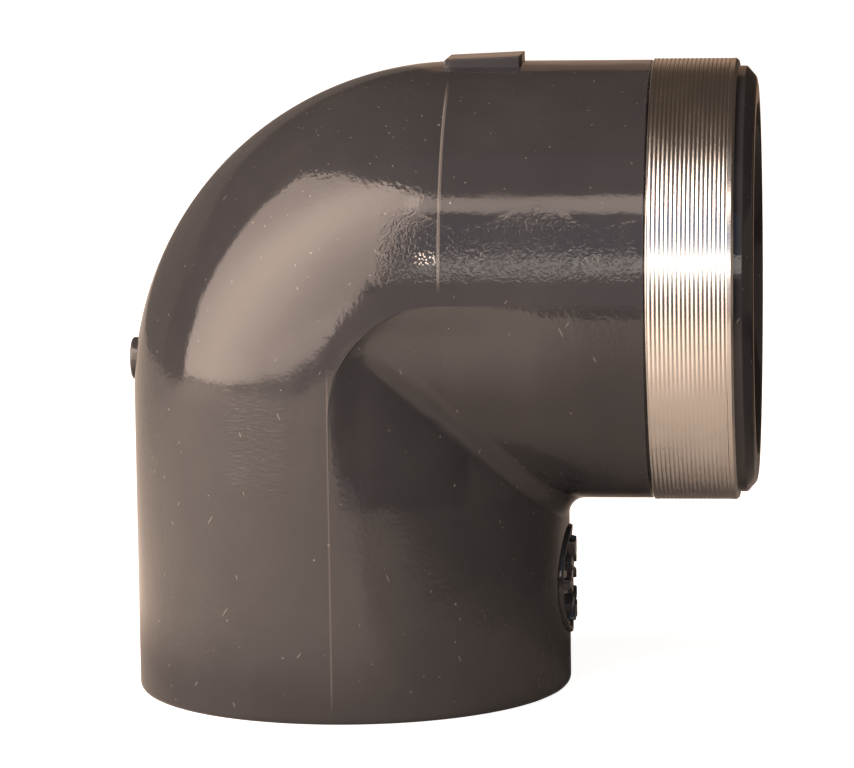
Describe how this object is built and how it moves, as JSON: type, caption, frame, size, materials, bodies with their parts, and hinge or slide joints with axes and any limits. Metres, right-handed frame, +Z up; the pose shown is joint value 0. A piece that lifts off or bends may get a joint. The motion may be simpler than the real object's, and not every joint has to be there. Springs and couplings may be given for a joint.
{
  "type": "pipe elbow",
  "caption": "Ninety degree pipe elbow: a plain cement socket on one leg, a female threaded outlet with a pressed steel reinforcing ring on the other.",
  "frame": {"origin": "centre of the plain socket's mouth, on the plane of its rim", "axes": "+Z up the socket leg towards the bend, +X out of the threaded outlet, +Y towards the back of the part as pictured"},
  "size_m": [0.1092, 0.0764, 0.1108],
  "materials": {
    "grey_plastic": "glossy as moulded, with fine scuffs",
    "stainless_steel": "turned with fine ribs round it"
  },
  "bodies": {
    "root": {"elbow_body": "grey_plastic", "reinforcing_ring": "stainless_steel"}
  },
  "joints": []
}
